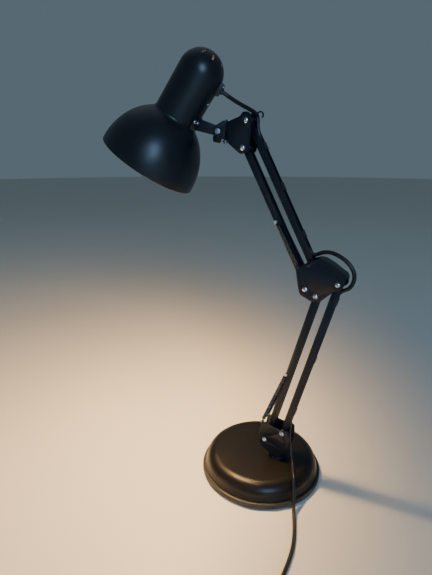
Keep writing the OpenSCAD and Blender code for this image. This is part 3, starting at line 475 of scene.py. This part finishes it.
lower_run = [lead_split, low_rod(7.6, 2), low_rod(4.6, 16), low_rod(1, 34), low_rod(1, LOWER_LEN / 2),
             low_rod(1, LOWER_LEN - 38), low_rod(1.6, LOWER_LEN - 22.6), low_rod(3.4, LOWER_LEN - 14.2)]
elbow_loop = [flat(p) for p in (
    (106.8, 314.2), (112.2, 317.2), (116, 321.8), (118.4, 328.4), (118.5, 336), (116.2, 342.6), (112.4, 348),
    (107.2, 352.9), (101, 356.9), (94.2, 360), (87, 361.8), (79.8, 361.7), (73.6, 359.9), (68.2, 357.2),
    (63.9, 356.5))]
upper_run = [up_rod(4, 13.6), up_rod(2.2, 21), up_rod(1, 34), up_rod(1, UPPER_LEN / 2),
             up_rod(1, UPPER_LEN - 42), up_rod(3.2, UPPER_LEN - 23), up_rod(6, UPPER_LEN - 12.5)]
head_run = [Vector(p) for p in (
    (-21.4, 0, 523.2), (-21.8, 0, 528.2), (-25.4, 0, 532.3), (-31.2, 0, 535.8), (-38, 0, 539.3),
    (-46, -0.3, 543.3), (-53.4, -1.1, 547.4))]
head_run += [from_head(GLAND_R + out, 0, GLAND_UP) for out in (12, 6, 0)]
arm_points = lower_run + elbow_loop + upper_run + head_run
LOW_MID, LOOP_CUT = 4, len(lower_run) + 4
UP_MID = len(lower_run) + len(elbow_loop) + 3
HEAD_CUT = len(lower_run) + len(elbow_loop) + len(upper_run) + 4
YOKE_CUT = HEAD_CUT + 1


def held_cord(name, first, last, replaces=()):
    """The stretch of the arms' cord between two of its points, first to last, as one fixed tube."""
    line = smooth_line(arm_points, 2.5)
    head, tail = (min(range(len(line)), key=lambda i: (line[i] - arm_points[k]).length)
                  for k in (first, last))
    mesh = tube_mesh(name, line[head:tail + 1], CORD_D / 2, 5)
    piece = show(name, mesh, sheath, None, replaces)
    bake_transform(piece)


held_cord("cord_at_foot", 0, LOW_MID,
          ["lower_cord"])
held_cord("cord_below_elbow", LOW_MID, LOOP_CUT)
held_cord("cord_above_elbow", LOOP_CUT, UP_MID,
          ["upper_cord"])
held_cord("cord_at_head", UP_MID, HEAD_CUT,
          ["head_cord_rear"])
held_cord("cord_at_yoke", HEAD_CUT, YOKE_CUT,
          ["head_cord_front"])
held_cord("cord_at_gland", YOKE_CUT, len(arm_points) - 1)

# ---------- balance springs ----------


def spring_mesh(name, start, end, side):
    """A close-wound wire spring with a loop round the pin at each end."""
    wire, coil_r, loop_r, lead_in, pitch, per_turn = 0.45, 2.35, 2.35, 5.6, 1.02, 10
    length = math.hypot(end[0] - start[0], end[1] - start[1])
    turns = round((length - 2 * lead_in) / pitch)
    step = (length - 2 * lead_in) / turns

    def loop():
        ring = [(loop_r * math.cos(math.radians(a)), 0.0, loop_r * math.sin(math.radians(a)))
                for a in range(-150, 91, 24)]
        return ring + [(-1.3, 0, loop_r + 0.9), (-coil_r, 0, lead_in - 0.8)]

    wound = [(-coil_r * math.cos(2 * math.pi * i / per_turn), coil_r * math.sin(2 * math.pi * i / per_turn),
              lead_in + step * i / per_turn) for i in range(turns * per_turn + 1)]
    far = [(x, y, length - z) for x, y, z in reversed(loop())]
    place = (Matrix.Translation((start[0], side * 8.25, start[1]))
             @ turn("Y", math.degrees(math.atan2(end[0] - start[0], end[1] - start[1]))))
    return tube_mesh(name, [place @ Vector(p) for p in loop() + wound + far], wire, 1)


for level, start, end in (("lower", lower_hook, lower_clip), ("upper", upper_hook, upper_clip)):
    for word, side in (("near", -1), ("far", 1)):
        spring = show(f"{level}_spring_{word}", spring_mesh("spring", start, end, side), black_wire, None,
                      [f"{level}_spring_coils", f"{level}_spring_loops"])
        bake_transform(spring)

# ---------- pressed and cast pieces, with their edges broken ----------
for node, width in (
        ("base_socket", 0.25), ("bracket_foot", 0.5), ("lower_plate_near", 0.45), ("lower_plate_far", 0.45),
        ("lower_liners", 0.15), ("lower_front_channel", 0.3), ("lower_rear_channel", 0.3),
        ("elbow_plate_near", 0.45), ("elbow_plate_far", 0.45), ("elbow_web", 0.3),
        ("upper_front_channel", 0.3), ("upper_rear_channel", 0.3), ("head_plate_near", 0.45),
        ("head_plate_far", 0.45), ("head_hinge_block", 0.4), ("head_yoke", 0.3), ("stub_arm", 0.5),
        ("stub_saddle", 0.35), ("tilt_knob", 0.6), ("cord_gland", 0.6), ("switch_rocker", 0.5),
        ("swivel_post", 0.2), ("lower_rivets", 0.15), ("head_rivets", 0.15),
        ("lower_front_bushes", 0.15), ("lower_rear_bushes", 0.15), ("upper_front_bushes", 0.15),
        ("upper_rear_bushes", 0.15), ("lead_tie", 0.2), ("holder_contacts", 0.1)):
    softened(node, width)
softened("lower_spring_pin", 0.25, zinc)
softened("upper_spring_pin", 0.25, zinc)
softened("tilt_bolt", 0.4, dark_zinc)
softened("yoke_pin", 0.3, dark_zinc)
softened("base_ballast", 0.5)
RIVET_REACH = 6                         # farther from its axis than any part of a rivet
elbow_heads = softened("elbow_rivets", 0.15, [zinc, arm_paint])
for polygon in elbow_heads.data.polygons:
    if (polygon.center - flat(elbow_high_rear) * MM).xz.length < RIVET_REACH * MM:
        polygon.material_index = 1      # the high rear rivet is painted over

# ---------- base ----------
BASE_R, BASE_H, RIM_H = 92.5, 33.0, 9.0
COVER_R, COVER_T, GROOVE = BASE_R - 3.9, 1.5, 1.2
SHOULDER_R = 17.6
SWIVEL_X = 28                           # the bracket's swivel stands off the base's middle
top_r = COVER_R - 2.4 - SHOULDER_R
shoulder = (top_r, BASE_H - SHOULDER_R)


def carved(mesh, *cutters):
    """The mesh with the cutters' shapes taken out. Everything is in metres."""
    body = bpy.data.objects.new("carved", mesh)
    bpy.context.scene.collection.objects.link(body)
    tools = []
    for cutter in cutters:
        tool = bpy.data.objects.new("cutter", cutter)
        bpy.context.scene.collection.objects.link(tool)
        cut = body.modifiers.new("cut", "BOOLEAN")
        cut.operation, cut.solver, cut.object = "DIFFERENCE", "EXACT", tool
        tools.append(tool)
    bpy.context.view_layer.update()
    result = bpy.data.meshes.new_from_object(body.evaluated_get(bpy.context.evaluated_depsgraph_get()))
    for thing in [body, *tools]:
        bpy.data.objects.remove(thing)
    bm = bmesh.new()
    bm.from_mesh(result)
    bmesh.ops.remove_doubles(bm, verts=bm.verts, dist=1e-7)
    smoothed(bm)
    bm.to_mesh(result)
    bm.free()
    return result


def drum(radius, height, matrix):
    """A plain cylinder that stands on the matrix's XY plane."""
    bm = bmesh.new()
    bmesh.ops.create_cone(bm, cap_ends=True, segments=48, radius1=radius, radius2=radius, depth=height,
                          matrix=Matrix.Translation((0, 0, height / 2)))
    return closed_mesh("drum", bm, matrix)


def slab_piece(outline, height, edge, matrix, steps=4, foot_edge=None):
    """An outline raised to a height, with its top and bottom edges rounded."""
    bm = bmesh.new()
    face = bm.faces.new([bm.verts.new((x, y, 0)) for x, y in outline])
    raised = bmesh.ops.extrude_face_region(bm, geom=[face])["geom"]
    bmesh.ops.translate(bm, vec=(0, 0, height),
                        verts=[part for part in raised if isinstance(part, bmesh.types.BMVert)])
    bm.edges.ensure_lookup_table()
    for z, size in ((height, edge), (0, edge if foot_edge is None else foot_edge)):
        rim = [e for e in bm.edges if all(abs(v.co.z - z) < 1e-6 for v in e.verts)]
        if size:
            bmesh.ops.bevel(bm, geom=rim, offset=size, segments=steps, profile=0.5, affect="EDGES",
                            clamp_overlap=True, material=-1)
    return closed_mesh("slab", bm, matrix)


def rounded_outline(corners, radii, steps=6):
    """Corner points, each rounded off by its radius."""
    line = []
    count = len(corners)
    for i, radius in enumerate(radii):
        a, b, c = (Vector(corners[(i + k) % count]) for k in (-1, 0, 1))
        u, v = (a - b).normalized(), (c - b).normalized()
        half = u.angle(v) / 2
        centre = b + (u + v).normalized() * radius / math.sin(half)
        first, last = b + u * radius / math.tan(half) - centre, b + v * radius / math.tan(half) - centre
        for k in range(steps + 1):
            t = k / steps
            arm = (first * (1 - t) + last * t).normalized() * radius
            line.append(tuple(centre + arm))
    return line


cover_profile = ([(COVER_R, RIM_H + GROOVE), (COVER_R - 0.25, RIM_H + GROOVE + 1.6)]
                 + bow(shoulder, SHOULDER_R, 2, 90, 28)
                 + [(60, BASE_H - 0.02), (50, BASE_H), (30, BASE_H), (0, BASE_H), (0, BASE_H - COVER_T)]
                 + bow(shoulder, SHOULDER_R - COVER_T, 90, 2, 14) + [(COVER_R - COVER_T, RIM_H + GROOVE)])
bm = bmesh.new()
lathe(bm, cover_profile, 144)
cover = carved(closed_mesh("base_cover", bm), drum(9, 12, Matrix.Translation((SWIVEL_X, 0, BASE_H - 6))))
show("base_dome", cover, base_paint, "base", ["base_cover"])

rim_profile = ([(0, 1.2), (BASE_R - 2.4, 1.2)] + bow((BASE_R - 1.2, 2.4), 1.2, -90, 0, 4)
               + bow((BASE_R - 2.2, RIM_H - 2.2), 2.2, 0, 90, 8)
               + [(COVER_R - 0.6, RIM_H), (COVER_R - 0.8, RIM_H - 0.4), (COVER_R - 1.6, RIM_H - 0.4),
                  (COVER_R - 1.6, RIM_H + GROOVE), (COVER_R - 4, RIM_H + GROOVE), (COVER_R - 4, 3.4),
                  (0, 3.4)])
lathed("base_band", rim_profile, None, black_plastic, "base", ["base_rim"], 144)
pad_profile = [(0, 0.3), (8, 0.3), (8.4, 0), (24, 0), (24.4, 0.3), (27, 0.3), (27.4, 0)]
for ring in (44, 60, 76):
    pad_profile += [(ring, 0), (ring + 0.4, 0.35), (ring + 2.6, 0.35), (ring + 3, 0)]
pad_profile += [(BASE_R - 3, 0), (BASE_R - 2.5, 0.4), (BASE_R - 2.5, 1.0), (BASE_R - 2.8, 1.2), (0, 1.2)]
lathed("base_foot", pad_profile, None, rubber, "base", ["base_pad"], 96)

# ---------- screws ----------


def cross_screw(name, matrix, size, body, replaces=()):
    """A pan head with a cross recess; its seat is on the matrix's XY plane. Size is (radius, height)."""
    radius, height = size
    bm = bmesh.new()
    lathe(bm, [(radius * out, height * up) for out, up in (
        (0, 0), (1, 0), (1, 0.35), (0.93, 0.62), (0.74, 0.84), (0.4, 0.97), (0, 1))], 32, closed=False)
    cutters = []
    for spin in (20, 110):
        cross = bmesh.new()
        bmesh.ops.create_cube(cross, size=1, matrix=Matrix.Translation((0, 0, height)) @ turn("Z", spin)
                              @ Matrix.Diagonal((radius * 1.15, radius * 0.26, height * 1.1, 1)))
        cutters.append(closed_mesh("cross", cross, matrix))
    show(name, carved(closed_mesh(name, bm, matrix), *cutters), zinc, body, replaces)


def on_neck(angle, out, y, up):
    """A screw's seat: out from the neck's axis at an angle round it, facing outwards."""
    return at_head @ turn("Z", angle) @ Matrix.Translation((out, y, up)) @ turn("Y", 90)


SADDLE_R, SADDLE_UP = NECK_R + 1.6, 83
SADDLE_SCREW, GLAND_SCREW, HOLDER_SCREW, BASE_SCREW = (2.6, 1.9), (1.8, 1.2), (2, 1.4), (3.8, 0.85)
for i, a in enumerate((-30, -16, 16, 30)):
    cross_screw(f"saddle_screw_{i}", on_neck(a, SADDLE_R - 0.1, 0, SADDLE_UP + 2.5), SADDLE_SCREW, "head",
                ["head_screws"])
for i, (y, above) in enumerate(((-4, 5), (4, -5))):
    seat = on_neck(0, NECK_R + GLAND_T - 0.1, y, GLAND_UP + above)
    cross_screw(f"gland_screw_{i}", seat, GLAND_SCREW, "head")
cross_screw("holder_screw", on_neck(-12, NECK_R - 0.4, 0, SADDLE_UP + 29), HOLDER_SCREW, "head")
for i in range(4):
    seat = turn("Z", 45 + 90 * i) @ Matrix.Translation((top_r - 12, 0, 1.25)) @ turn("X", 180)
    cross_screw(f"base_screw_{i}", seat, BASE_SCREW, "base", ["base_screws"] if i == 0 else ())

# ---------- head ----------
SHADE_R, SHADE_H, WALL = 69.5, 82.0, 0.9
NECK_IN, DOME_STEPS = NECK_R - 1.1, 22
JOINT_UP = SHADE_H * math.sqrt(1 - (NECK_R / SHADE_R) ** 2)
DOME_UP = 168 - NECK_R
close = math.degrees(math.asin(JOINT_UP / SHADE_H))
outer = [(SHADE_R * math.cos(math.radians(a)), SHADE_H * math.sin(math.radians(a)))
         for a in [(close - 2.4) * i / 40 for i in range(1, 41)]]
inner = [((SHADE_R - WALL) * math.cos(math.radians(a)), (SHADE_H - WALL) * math.sin(math.radians(a)))
         for a in [(close - 1.2) * i / 30 for i in range(30, 0, -1)]]
collar = [(NECK_R + 1.5, JOINT_UP - 0.15), (NECK_R + 0.9, JOINT_UP + 0.6), (NECK_R + 0.75, JOINT_UP + 1.7),
          (NECK_R + 0.5, JOINT_UP + 2.1), (NECK_R - 0.1, JOINT_UP + 2.1), (NECK_R - 1, JOINT_UP - 1),
          (20, JOINT_UP - 1), (20, JOINT_UP - 1.9)]
bell = bmesh.new()
lathe(bell, bow((SHADE_R - 1.1, 1.1), 1.1, -150, 20, 10) + outer + collar + inner, 128)
bell_mesh = closed_mesh("bell", bell, at_head)
show("shade_bell", bell_mesh, [shade_paint, white_enamel], "head", ["shade"])
into_head = at_head.inverted()
for polygon in bell_mesh.polygons:
    p = into_head @ (polygon.center / MM)
    r = math.hypot(p.x, p.y)
    inside = (r / (SHADE_R - WALL / 2)) ** 2 + (p.z / (SHADE_H - WALL / 2)) ** 2 < 1 and p.z > 1.4
    polygon.material_index = 1 if inside and p.z < JOINT_UP - 0.5 else 0

tube = bmesh.new()
lathe(tube, [(NECK_R, JOINT_UP + 1)] + bow((0, DOME_UP), NECK_R, 0, 90, DOME_STEPS)
      + bow((0, DOME_UP), NECK_IN, 90, 0, DOME_STEPS) + [(NECK_IN, JOINT_UP + 1)], 112)
slot_outline = rounded_outline([(-4.6, -1.3), (4.6, -1.3), (4.6, 1.3), (-4.6, 1.3)], [1.25] * 4, 4)
vents = [slab_piece(slot_outline, 26, 0, at_head @ turn("Z", 45 * (i + 0.5))
                    @ Matrix.Translation((NECK_R * 0.57, 0, DOME_UP + 14)), 1) for i in range(8)]
show("neck_tube", carved(closed_mesh("neck_tube", tube, at_head), *vents), shade_paint, "head",
     ["neck"])

MOUTH_UP, CAP_R = JOINT_UP - 8, 13.3
holder_profile = [(CAP_R + 0.5, MOUTH_UP), (16.4, MOUTH_UP), (17.6, MOUTH_UP + 0.8), (18, MOUTH_UP + 2),
                  (18, JOINT_UP - 4.6), (22.4, JOINT_UP - 4.6), (23, JOINT_UP - 4), (23, JOINT_UP - 2),
                  (20, JOINT_UP - 2)]
for rib in range(7):
    z = JOINT_UP + 2 + 3.2 * rib
    holder_profile += [(20, z), (20, z + 1.7), (19.2, z + 2.1), (19.2, z + 2.9)]
holder_profile += [(19.6, JOINT_UP + 26), (17, JOINT_UP + 34), (10, JOINT_UP + 41), (9, JOINT_UP + 42),
                   (0, JOINT_UP + 42), (0, JOINT_UP + 28), (CAP_R + 0.5, JOINT_UP + 28)]
lathed("lamp_holder", holder_profile, at_head, black_plastic, "head", ["lampholder"],
       closed=True)
thread = [(CAP_R - 0.9, MOUTH_UP - 2)]
for i in range(6):
    thread += [(CAP_R - 0.9, MOUTH_UP + 1 + 3.6 * i), (CAP_R, MOUTH_UP + 2.8 + 3.6 * i)]
thread += [(CAP_R - 0.9, MOUTH_UP + 22.6), (6.4, MOUTH_UP + 26), (4, MOUTH_UP + 28.5), (0, MOUTH_UP + 28.6)]
lathed("bulb_thread", thread, at_head, cap_metal, "head", ["bulb_cap"])
GLOBE = 29.0
globe_up = MOUTH_UP - 34
glass_profile = bow((0, globe_up), GLOBE, -90, 38, 26)
glass_profile += [(20.2, globe_up + 21.2), (17.2, globe_up + 25.2), (15, MOUTH_UP - 4.2),
                  (13.8, MOUTH_UP - 1.4), (CAP_R - 0.8, MOUTH_UP)]
bulb = lathed("bulb_globe", glass_profile, at_head, opal_glass, "head", ["bulb_glass"])
bulb.visible_shadow = False

# ---------- switch and plug on the lead ----------


def relief_profile(length, low, high, base):
    """Ribbed, tapering sleeve: (radius, height) from the housing outwards."""
    points = [(low, base - 0.5)]
    ribs = 6
    for k in range(ribs):
        z = base + length * k / ribs
        r = high + (low + 0.9 - high) * k / ribs
        points += [(r, z), (r, z + length / ribs * 0.6), (r - 0.7, z + length / ribs * 0.68),
                   (r - 0.7, z + length / ribs * 0.95)]
    return points + [(low + 0.5, base + length), (low, base + length)]


RELIEF_R, RELIEF_LEN, PLUG_UP = 4.6, 22, 7
sleeve = relief_profile(RELIEF_LEN, CORD_D / 2 - 0.05, RELIEF_R, 0)
case = rounded_outline([(-12, -29), (12, -29), (12, 29), (-12, 29)], [7] * 4, 8)
rocker_hole = rounded_outline([(-5.8, -10.3), (5.8, -10.3), (5.8, 10.3), (-5.8, 10.3)], [0.6] * 4, 3)
well = slab_piece(rocker_hole, 12, 0, at_switch @ Matrix.Translation((0, 0, 9)), 1)
case_top = slab_piece(case, 8.4, 2.6, at_switch @ Matrix.Translation((0, 0, 8.6)), 5, 0.4)
show("switch_top", carved(case_top, well), black_plastic, "base", ["switch_case"])
show("switch_bottom", slab_piece(case, 8.5, 0.4, at_switch, 3, 1.2), black_plastic, "base")
for i, a in enumerate((0, 180)):
    seat = at_switch @ turn("Z", a) @ Matrix.Translation((0, 29, entry_h)) @ turn("X", -90)
    lathed(f"switch_relief_{i}", sleeve, seat, black_plastic, "base", steps=32, closed=True)

plug_outline = rounded_outline([(-8, -5), (-8, 5), (6, 13.5), (32, 17.5), (36, 17.5), (36, -17.5),
                                (32, -17.5), (6, -13.5)], [3, 3, 8, 6, 1.5, 1.5, 6, 8])
show("plug_shell", slab_piece(plug_outline, 2 * PLUG_UP, 2.4, at_plug, 5), black_plastic, "base",
     ["plug_body"])
lathed("plug_relief", sleeve, at_plug @ Matrix.Translation((-8, 0, PLUG_UP)) @ turn("Y", -90), black_plastic,
       "base", steps=32, closed=True)
pin_sleeve = [(0, -1), (1.95, -1), (1.95, 9.6), (1.7, 9.9), (0, 9.9)]
pin_end = [(0, 9), (2, 9), (2, 17.4), (1.8, 18.2), (1.2, 18.8), (0, 19)]
for i, y in enumerate((-9.3, 9.3)):
    seat = at_plug @ Matrix.Translation((36, y, PLUG_UP)) @ turn("Y", 90)
    lathed(f"plug_sleeve_{i}", pin_sleeve, seat, black_plastic, "base", steps=32)
    lathed(f"plug_pin_{i}", pin_end, seat, nickel, "base", ["plug_pins"], 32)

# ---------- floor and light ----------
floor_bm = bmesh.new()
bmesh.ops.create_circle(floor_bm, cap_ends=True, segments=96, radius=9)
floor_mesh = bpy.data.meshes.new("floor")
floor_bm.to_mesh(floor_mesh)
floor_bm.free()
floor = bpy.data.objects.new("floor", floor_mesh)
bpy.context.scene.collection.objects.link(floor)
floor_finish = Finish("floor_top", 0.5)
floor_finish.colours(floor_finish.noise(3), (0.2, (0.68, 0.66, 0.6)), (0.8, (0.71, 0.69, 0.63)))
floor_mesh.materials.append(floor_finish.material)

world = bpy.data.worlds.new("room")
bpy.context.scene.world = world
world.use_nodes = True
room = world.node_tree.nodes["Background"]
room.inputs["Color"].default_value = (0.2, 0.28, 0.34, 1)
room.inputs["Strength"].default_value = 0.5


def area_light(name, place, target, width, height, power, colour):
    """A soft rectangular light, turned to its target."""
    data = bpy.data.lights.new(name, "AREA")
    data.shape, data.size, data.size_y, data.energy, data.color = "RECTANGLE", width, height, power, colour
    lamp = bpy.data.objects.new(name, data)
    lamp.location = place
    lamp.rotation_euler = (Vector(target) - Vector(place)).to_track_quat("-Z", "Y").to_euler()
    bpy.context.scene.collection.objects.link(lamp)


area_light("window", (1.7, -2.0, 1.3), (0, 0, 0.35), 0.8, 1.2, 40, (0.38, 0.63, 1.0))
area_light("overhead", (-0.6, 0.9, 2.6), (0, 0, 0.2), 2.4, 2.4, 3, (0.8, 0.9, 1.0))
area_light("bounce", (-1.2, -1.6, 0.25), (0, 0, 0.15), 1.6, 0.5, 2, (0.4, 0.62, 1.0))


def head_light(name, power, colour, size, up):
    """A small light on the neck's axis, which the head carries."""
    data = bpy.data.lights.new(name, "POINT")
    data.energy, data.color, data.shadow_soft_size = power, colour, size
    lamp = bpy.data.objects.new(name, data)
    lamp.location = from_head(0, 0, up) * MM
    bpy.context.scene.collection.objects.link(lamp)
    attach(lamp, "head")


head_light("glow", 33.0, (1.0, 0.6, 0.25), 0.028, globe_up)
head_light("vent_glow", 0.5, (1.0, 0.5, 0.3), 0.01, DOME_UP + 6)
